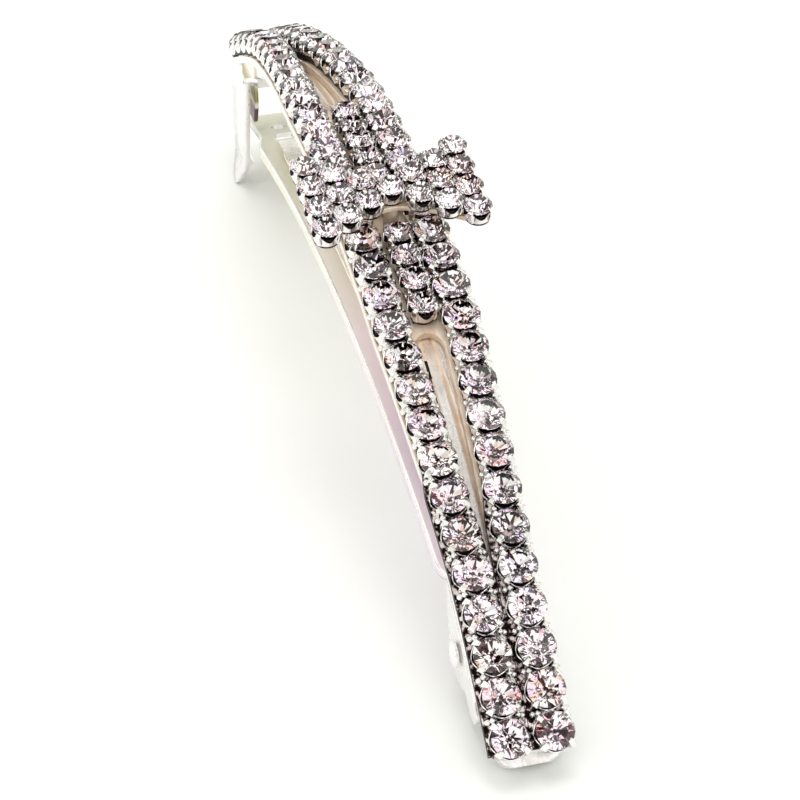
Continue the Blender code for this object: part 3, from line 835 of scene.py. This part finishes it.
def side_mark(face, points):
    """Material of a sheet face: warm slot walls, painted shade on the outer sides by the hinge."""
    middle = face_middle(face, points)
    across = max(points[i][1] for i in face) - min(points[i][1] for i in face)
    if across > 0.5:
        return 1 if abs(middle.x) < WARM_TO_X else 0
    if abs(middle.y) < WARM_HALF and abs(middle.x) < WARM_TO_X:
        return 1
    return 2 if middle.x > SHADED_FROM_X else 0


def build_stone_frame():
    """Stamped sheet under the stones, with a rolled lip round each teardrop slot."""
    side = {}
    for sign in (-1, 1):
        start, end = SLOTS[sign]
        places = spaced(0.0, start, 10)
        places += [start + SLOT_ROUND * (1 - math.cos(math.radians(a))) for a in range(15, 91, 15)]
        places += spaced(start + SLOT_ROUND, end, 30)[1:] + spaced(end, FRAME_END, 12)[1:]
        side[sign] = places
    stations = [-s for s in reversed(side[-1][1:])] + side[1]
    points, faces, marks = [], [], []
    rows = []
    for s in stations:
        q, w = slot_half(s), row_y(s) + FRAME_MARGIN - FRAME_STEP_IN * near_hinge(s)
        row = {}
        for level, height in (("low", FRAME_LOW), ("high", FRAME_TOP)):
            first = len(points)
            places = [-w, -q, q, w] if q > 0.0 else [-w, 0.0, w]
            points.extend(arch(s, height, y) for y in places)
            index = list(range(first, first + len(places)))
            row[level] = index if q > 0.0 else [index[0], index[1], index[1], index[2]]
        rows.append(row)
    for a, b in zip(rows, rows[1:]):
        for i, j in ((0, 1), (2, 3)):
            for level in ("low", "high"):
                faces.append((a[level][i], a[level][j], b[level][j], b[level][i]))
        for i in (0, 3):
            faces.append((a["low"][i], b["low"][i], b["high"][i], a["high"][i]))
        if a["low"][1] != a["low"][2] or b["low"][1] != b["low"][2]:
            for i in (1, 2):
                faces.append((a["low"][i], b["low"][i], b["high"][i], a["high"][i]))
        marks += [side_mark(faces[k], points) for k in range(len(marks), len(faces))]
    for row in (rows[0], rows[-1]):
        faces.append((row["low"][0], row["low"][1], row["low"][3],
                      row["high"][3], row["high"][1], row["high"][0]))
        marks.append(0)
    mesh = mesh_from("slotted_sheet", points, faces, [SILVER, WARM, PAINTED_SHADE], marks, sharp=30)
    sheet = add_object("slotted_sheet", mesh, "clip_body")
    soften(sheet, 0.09)
    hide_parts("stone_frame")


def soften(obj, width, segments=2):
    """Rounded edges from a bevel that stays on the object."""
    bevel = obj.modifiers.new("soft_edges", "BEVEL")
    bevel.width = width * MM
    bevel.segments = segments
    bevel.limit_method = "ANGLE"
    bevel.angle_limit = math.radians(40)
    bevel.harden_normals = True


# ---- hinge and catch ----

# x, z, radius, first angle, last angle, points
EAR_LOBES = ((PIN_X, PIN_Z, 2.35, 188.0, 316.0, 22), (33.9, -14.75, 1.15, 230.0, 358.0, 16))
PIN_HOLE = 0.62
EAR_Y, EAR_SHEET, HINGE_HALF, CATCH_HALF = 2.3, 0.4, 2.42, 2.2
RIVET_HALF_PROFILE = ((0.01, 3.0), (0.55, 2.98), (0.78, 2.9), (0.85, 2.78), (0.82, 2.62),
                      (0.5, 2.6))
PIN_SIDES = 28


def cross_plate(name, ends, half, mats):
    """Arched sheet across the underside of the plate, between two distances along it."""
    rings = []
    for s in spaced(*ends, 13):
        outline = rounded([(half, CROSS_LOW), (half, CROSS_HIGH), (-half, CROSS_HIGH),
                           (-half, CROSS_LOW)], 0.12, 2)
        rings.append([arch(s, p.y, p.x) for p in outline])
    return mesh_from(name, *loft(rings), mats)


def ear_outline():
    """Scalloped ear as (x, z): a lobe round the pin and a smaller heel lobe behind it."""
    top = [arch(s, EAR_TOP, 0.0) for s in spaced(HINGE_CROSS[1] - 0.2, HINGE_CROSS[0] + 0.2, 9)]
    outline = [(p.x, p.z) for p in top]
    for x, z, radius, first, last, count in EAR_LOBES:
        for angle in spaced(first, last, count):
            a = math.radians(angle)
            outline.append((x + radius * math.cos(a), z + radius * math.sin(a)))
    return outline


def upright(y):
    """Matrix that stands an (x, z) outline up, with its middle at y."""
    return Matrix.Translation((0.0, y * MM, 0.0)) @ Matrix.Rotation(math.radians(90), 4, "X")


def ring_round_pin(radius, y):
    """Circle about the hinge pin, square to it at y."""
    return [(px, y, pz) for px, pz in circle(PIN_X, PIN_Z, radius, PIN_SIDES)]


def build_hinge():
    """Yoke with two ears, and the rivet that the arm turns on."""
    parts = [cross_plate("hinge_cross", HINGE_CROSS, HINGE_HALF, [SILVER])]
    for sign in (-1, 1):
        outlines = [ear_outline(), circle(PIN_X, PIN_Z, PIN_HOLE)]
        parts.append(cut_plate("hinge_ear", outlines, EAR_SHEET, 0.09, [SILVER],
                               upright(sign * EAR_Y)))
    bracket = add_object("hinge_yoke", merged("hinge_yoke", parts), "clip_body")
    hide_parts("hinge_bracket")
    rings = [ring_round_pin(radius, y) for radius, y in RIVET_HALF_PROFILE]
    rings += [ring_round_pin(radius, -y) for radius, y in reversed(RIVET_HALF_PROFILE)]
    pin = add_object("hinge_rivet", mesh_from("hinge_rivet", *loft(rings), [SILVER]), "clip_body")
    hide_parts("hinge_pin")


CHEEK_OUTLINE = ((-36.0, -12.9), (-31.4, -10.2), (-31.2, -14.2), (-31.9, -16.3), (-34.0, -16.5),
                 (-35.4, -15.9), (-36.2, -15.2))
CHEEK_Y = 1.98


def build_catch():
    """Saddle across the plate with a cheek on each side."""
    cross = cross_plate("catch_cross", CATCH_CROSS, CATCH_HALF, [SILVER])
    painted_light_bands = cheek_painted_light_material()
    cross.materials.append(painted_light_bands)
    parts = [cross]
    for sign in (-1, 1):
        cheek = cut_plate("catch_cheek", [rounded([Vector(c) for c in CHEEK_OUTLINE], 0.5)],
                          0.3, 0.08, [SILVER, painted_light_bands], upright(sign * CHEEK_Y))
        cheek.polygons.foreach_set("material_index", [1] * len(cheek.polygons))
        parts.append(cheek)
    mesh = merged("catch_saddle", parts)
    bracket = add_object("catch_saddle", mesh, "clip_body")
    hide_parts("catch_bracket")


LEG_TOP_X = (-36.2, -30.4)
LEG_CUTS = 5
NIB_REACH = 0.45
LEG_STEPS = ((-16.6, -36.3, -31.3), (-18.4, -36.25, -31.6), (NIB_Z, -36.1, -31.9),
             (-21.0, -35.8, -32.3), (-21.8, -35.4, -32.8), (-22.4, -35.05, -33.15),
             (-22.8, -34.7, -33.5), (LEG_TIP_Z, -34.4, -33.8))


def under_arch(x):
    """Level of the leg's top edge at x, just under the flange."""
    r = PLATE_RADIUS + LEG_TOP
    return math.sqrt(r * r - x * x) - PLATE_RADIUS - GIRDLE


def leg_spans():
    """Finer steps down the leg, each as (left x, left z, right x, right z)."""
    slope = math.tan(TILT)
    steps = [(LEG_TOP_X[0], under_arch(LEG_TOP_X[0]), LEG_TOP_X[1], under_arch(LEG_TOP_X[1]))]
    for z, left, right in LEG_STEPS:
        rise = 0.5 * slope * (right - left)
        steps.append((left, z - rise, right, z + rise))
    spans = []
    for a, b in zip(steps, steps[1:]):
        spans += [tuple(p + (q - p) * k / LEG_CUTS for p, q in zip(a, b)) for k in range(LEG_CUTS)]
    return spans + [steps[-1]]


def build_legs():
    """Catch legs with a nib inside and a flared finger tip."""
    for label, sign in (("front", -1), ("back", 1)):
        rings = []
        for left, left_z, right, right_z in leg_spans():
            z = 0.5 * (left_z + right_z)
            nib = NIB * max(0.0, 1.0 - abs(z - NIB_Z) / NIB_REACH)
            flare = LEG_FLARE * ease((NIB_Z - NIB - z) / LEG_FLARE_DROP)
            inner = LEG_INNER + flare
            corners = rounded([(left, inner + LEG_SHEET), (right, inner + LEG_SHEET),
                               (right, inner - nib), (left, inner - nib)], 0.13, 2)
            ring = []
            for c in corners:
                along = (c.x - left) / (right - left)
                ring.append((c.x, sign * c.y, left_z + along * (right_z - left_z)))
            rings.append(ring)
        mesh = mesh_from(label + "_finger_leg", *loft(rings), [STEEL])
        leg = add_object(label + "_finger_leg", mesh, label + "_leg")
        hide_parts(label + "_catch_leg")


# ---- clasp arm and spring ----

ARM_START_Z = PIN_Z + KNUCKLE_RADIUS - ARM_SHEET / 2
ARM_NECK, ARM_NECK_RUN, ARM_SIDE_RUN = 3.8, 2.2, 3.0
HEAD_LENGTH, HEAD_RUN, TIP_LENGTH = 5.5, 3.0, 1.4
HEAD_HOLE_X, HEAD_HOLE = -33.0, 0.6
HEAD_SLOT = ((-31.35, 0.55), (-29.85, 0.95), (-29.85, -0.95), (-31.35, -0.55))
HEAD_SLOT_X = -30.6
CORNER_STEPS = 3
# Per rounded corner of the arm: the lower edges of its sides get a painted shade line (2), its
# upper edges bright plate as a painted highlight line (1).
CORNER_MARKS = (2, 1, 1, 2)


def arm_z(x):
    u = (ARM_START_X - x) / (ARM_START_X - ARM_END_X)
    return ARM_START_Z + (ARM_END_Z - ARM_START_Z) * u + 4.0 * ARM_RISE * u * (1.0 - u)


def arm_half(x):
    """Half width of the arm: narrow at its knuckle, wide in the middle, narrow at its head."""
    root = ease((ARM_START_X - ARM_NECK - x) / ARM_NECK_RUN)
    head = ease((x - ARM_END_X - HEAD_LENGTH) / HEAD_RUN)
    tip = math.sqrt(max(0.0, 1.0 - max(0.0, 1.0 - (x - ARM_END_X) / TIP_LENGTH) ** 2))
    half = ARM_ROOT_HALF + (ARM_HALF - ARM_ROOT_HALF) * root
    half = ARM_HEAD_HALF + (half - ARM_HEAD_HALF) * head
    return half * (0.45 + 0.55 * tip)


def arm_side(x):
    """Depth of the arm's turned-down sides, which fade out at both ends."""
    root = ease((ARM_START_X - ARM_NECK - x) / ARM_SIDE_RUN)
    head = ease((x - ARM_END_X - HEAD_LENGTH) / HEAD_RUN)
    return ARM_SHEET + 0.05 + (ARM_SIDE - ARM_SHEET) * min(root, head)


def along_arm(x, lift, y=0.0):
    """Point on the arm's arch at x, lifted square to its sheet."""
    slope = (arm_z(x + 0.01) - arm_z(x - 0.01)) / 0.02
    n = math.hypot(slope, 1.0)
    return Vector((x - lift * slope / n, y, arm_z(x) + lift / n))


def cut_away(obj, *tools):
    """Cut the tools out of the object and remove them."""
    for tool in tools:
        step = obj.modifiers.new("cut", "BOOLEAN")
        step.operation = "DIFFERENCE"
        step.solver = "EXACT"
        step.object = tool
    bpy.context.view_layer.update()
    graph = bpy.context.evaluated_depsgraph_get()
    mesh = bpy.data.meshes.new_from_object(obj.evaluated_get(graph))
    obj.modifiers.clear()
    obj.data = mesh
    for tool in tools:
        bpy.data.objects.remove(tool)
    smooth(mesh, 35)


def punch(name, outline, x):
    """Upright punch through the arm's head, to be cut out of it."""
    rings = [[(p[0], p[1], arm_z(x) + d) for p in outline] for d in (-2.0, 2.0)]
    tool = bpy.data.objects.new(name, mesh_from(name, *loft(rings), [SILVER]))
    bpy.context.scene.collection.objects.link(tool)
    tool.data.transform(STAND)
    return tool


def build_arm():
    """Channel-shaped arm with a hole and a slot in its head, and the knuckle on the pin."""
    rings = []
    stations = spaced(ARM_START_X, ARM_END_X + 2.0, 110)
    stations += [ARM_END_X + f for f in (1.6, 1.2, 0.85, 0.55, 0.3, 0.12, 0.0)]
    for x in stations:
        w, side = arm_half(x), arm_side(x)
        top, under = ARM_SHEET / 2, -ARM_SHEET / 2
        outline = [(w, top - side), (w, top), (-w, top), (-w, top - side),
                   (-w + ARM_WALL, top - side), (-w + ARM_WALL, under), (w - ARM_WALL, under),
                   (w - ARM_WALL, top - side)]
        rings.append([along_arm(x, p.y, p.x) for p in rounded(outline, 0.2, CORNER_STEPS)])
    points, faces = loft(rings)
    around = len(rings[0])
    marks = []
    for i in range(len(faces)):
        corner, step = divmod(i % around, CORNER_STEPS + 1)
        on_corner = corner < len(CORNER_MARKS) and step != CORNER_STEPS
        marks.append(CORNER_MARKS[corner] if on_corner else 0)
    mesh = mesh_from("clasp_bar", points, faces, [ARM_REFLECTION_AND_SHADE, SILVER, SHADED_EDGE], marks)
    arm = add_object("clasp_bar", mesh, "arm")
    cut_away(arm, punch("head_hole", circle(HEAD_HOLE_X, 0.0, HEAD_HOLE, 24), HEAD_HOLE_X),
             punch("head_slot", [(p.x, p.y) for p in rounded(HEAD_SLOT, 0.25)], HEAD_SLOT_X))
    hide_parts("clasp_arm")
    build_knuckle()


def build_knuckle():
    """Sleeve at the arm's root that runs on the pin."""
    edge = 0.08
    profile = ((KNUCKLE_BORE, -ARM_ROOT_HALF), (KNUCKLE_RADIUS - edge, -ARM_ROOT_HALF),
               (KNUCKLE_RADIUS, -ARM_ROOT_HALF + edge), (KNUCKLE_RADIUS, ARM_ROOT_HALF - edge),
               (KNUCKLE_RADIUS - edge, ARM_ROOT_HALF), (KNUCKLE_BORE, ARM_ROOT_HALF))
    points, faces = loft([ring_round_pin(radius, y) for radius, y in profile])
    last = (len(profile) - 1) * PIN_SIDES
    faces = faces[:-2]
    for k in range(PIN_SIDES):
        after = (k + 1) % PIN_SIDES
        faces.append((k, after, last + after, last + k))
    knuckle = add_object("arm_knuckle", mesh_from("arm_knuckle", points, faces, [SILVER]), "arm")


def build_spring():
    """Leaf spring bowed over the arm, with ends that narrow."""
    rings = []
    for x in spaced(SPRING_FROM_X, SPRING_TO_X, 90):
        u = (SPRING_FROM_X - x) / (SPRING_FROM_X - SPRING_TO_X)
        lift = ARM_SHEET / 2 + SPRING_GAP + SPRING_BOW * 4.0 * u * (1.0 - u)
        w = SPRING_HALF * (0.7 + 0.3 * ease(min(u, 1.0 - u) / 0.12))
        outline = rounded([(w, lift), (w, lift + SPRING_SHEET), (-w, lift + SPRING_SHEET),
                           (-w, lift)], 0.08, 2)
        rings.append([along_arm(x, p.y, p.x) for p in outline])
    points, faces = loft(rings)
    marks = []
    for face in faces:
        marks.append(int(abs(face_middle(face, points).y) > SPRING_HALF - 0.09))
    mesh = mesh_from("bowed_spring", points, faces, [LEAF, WARM], marks)
    spring = add_object("bowed_spring", mesh, "arm")
    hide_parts("tension_spring")


build_plate()
build_stone_frame()
build_rows()
build_bow()
build_hinge()
build_catch()
build_legs()
build_arm()
build_spring()


# ---- floor, light and camera ----

FLOOR_REACH = 4.0
# name, place, aim, size, power, colour
LIGHTS = (("key", (0.02, 0.03, 0.80), (0.0, 0.0, 0.0), 0.34, 1.7, (1.0, 0.975, 0.985)),
          ("sky", (0.0, 0.0, 1.30), (0.0, 0.0, 0.0), 2.2, 7.6, (0.97, 1.0, 0.985)),
          ("left_fill", (0.25, -0.6, 0.35), (0.0, 0.0, 0.01), 0.25, 0.6, (1.0, 0.98, 0.97)))
DOME_STOPS = ((0.36, (1.60, 1.50, 1.62)), (0.43, (1.60, 1.63, 1.55)), (0.46, (0.50, 0.50, 0.46)),
              (0.48, (0.02, 0.012, 0.012)), (0.54, (0.02, 0.012, 0.012)),
              (0.57, (1.60, 1.63, 1.55)), (0.70, (1.55, 1.45, 1.32)))
HORIZON = (0.90, 0.96, 0.88, 1.0)
HORIZON_BLEND = ((0.18, (0.0, 0.0, 0.0)), (0.36, (1.0, 1.0, 1.0)))


def build_floor():
    made = Shader("pale_paper", roughness=0.75)
    made.colour(made.noise(60.0, 5.0), ((0.3, (0.785, 0.795, 0.777)), (0.7, (0.81, 0.82, 0.803))))
    made.bump(made.noise(500.0, 6.0), 0.08, 0.0002)
    mesh = bpy.data.meshes.new("floor")
    mesh.from_pydata([(x * FLOOR_REACH, y * FLOOR_REACH, 0.0)
                      for x, y in ((-1, -1), (1, -1), (1, 1), (-1, 1))], [], [(0, 1, 2, 3)])
    mesh.materials.append(made.mat)
    floor = bpy.data.objects.new("floor", mesh)
    bpy.context.scene.collection.objects.link(floor)


def soft_light(name, place, aim, size, power, colour):
    """Square area light that is never seen itself, directly or in a reflection."""
    light = bpy.data.lights.new(name, "AREA")
    light.shape = "SQUARE"
    light.size = size
    light.energy = power
    light.color = colour
    obj = bpy.data.objects.new(name, light)
    bpy.context.scene.collection.objects.link(obj)
    obj.location = place
    obj.rotation_euler = (Vector(aim) - Vector(place)).to_track_quat("-Z", "Y").to_euler()
    obj.visible_camera = False
    obj.visible_glossy = False
    obj.visible_transmission = False


def build_light():
    """Soft lights, and a patchy bright and dark dome overhead that the stones sparkle with."""
    for light in LIGHTS:
        soft_light(*light)
    world = bpy.data.worlds.new("studio")
    bpy.context.scene.world = world
    world.use_nodes = True
    tree = world.node_tree
    place = tree.nodes.new("ShaderNodeTexCoord")
    patches = tree.nodes.new("ShaderNodeTexNoise")
    patches.inputs["Scale"].default_value = 3.2
    patches.inputs["Detail"].default_value = 1.0
    tree.links.new(place.outputs["Generated"], patches.inputs["Vector"])
    dome = colour_ramp(tree, patches.outputs["Fac"], DOME_STOPS)
    split = tree.nodes.new("ShaderNodeSeparateXYZ")
    tree.links.new(place.outputs["Generated"], split.inputs["Vector"])
    height = colour_ramp(tree, split.outputs["Z"], HORIZON_BLEND)
    mix = tree.nodes.new("ShaderNodeMix")
    mix.data_type = "RGBA"
    tree.links.new(height, mix.inputs["Factor"])
    mix.inputs["A"].default_value = HORIZON
    tree.links.new(dome, mix.inputs["B"])
    background = tree.nodes["Background"]
    tree.links.new(mix.outputs["Result"], background.inputs["Color"])
    background.inputs["Strength"].default_value = 1.0


CAMERA_AZIMUTH, CAMERA_ELEVATION, CAMERA_ROLL = 77.04, 34.68, -1.59
CAMERA_DISTANCE = 0.2198
CAMERA_LENS = 145.6
CAMERA_SIDE, CAMERA_LIFT, CAMERA_CENTRE = 0.00148, -0.00675, Vector((0.0, 0.0, 0.010))


def build_camera():
    """Camera that looks along the clip from above its hinge end."""
    a, e = math.radians(CAMERA_AZIMUTH), math.radians(CAMERA_ELEVATION)
    back = Vector((math.sin(a) * math.cos(e), -math.cos(a) * math.cos(e), math.sin(e)))
    right = Vector((0.0, 0.0, 1.0)).cross(back).normalized()
    up = back.cross(right)
    roll = math.radians(CAMERA_ROLL)
    right, up = (right * math.cos(roll) + up * math.sin(roll),
                 up * math.cos(roll) - right * math.sin(roll))
    aim = CAMERA_CENTRE + right * CAMERA_SIDE + up * CAMERA_LIFT
    camera = bpy.data.objects.new("camera", bpy.data.cameras.new("camera"))
    camera.data.lens = CAMERA_LENS
    camera.data.sensor_width = 36.0
    camera.data.clip_start = 0.01
    turn = Matrix((right, up, back)).transposed().to_4x4()
    camera.matrix_world = Matrix.Translation(aim + back * CAMERA_DISTANCE) @ turn
    bpy.context.scene.collection.objects.link(camera)
    bpy.context.scene.camera = camera


build_floor()
build_light()
build_camera()
bpy.context.scene.view_settings.view_transform = "Standard"

bpy.context.view_layer.update()
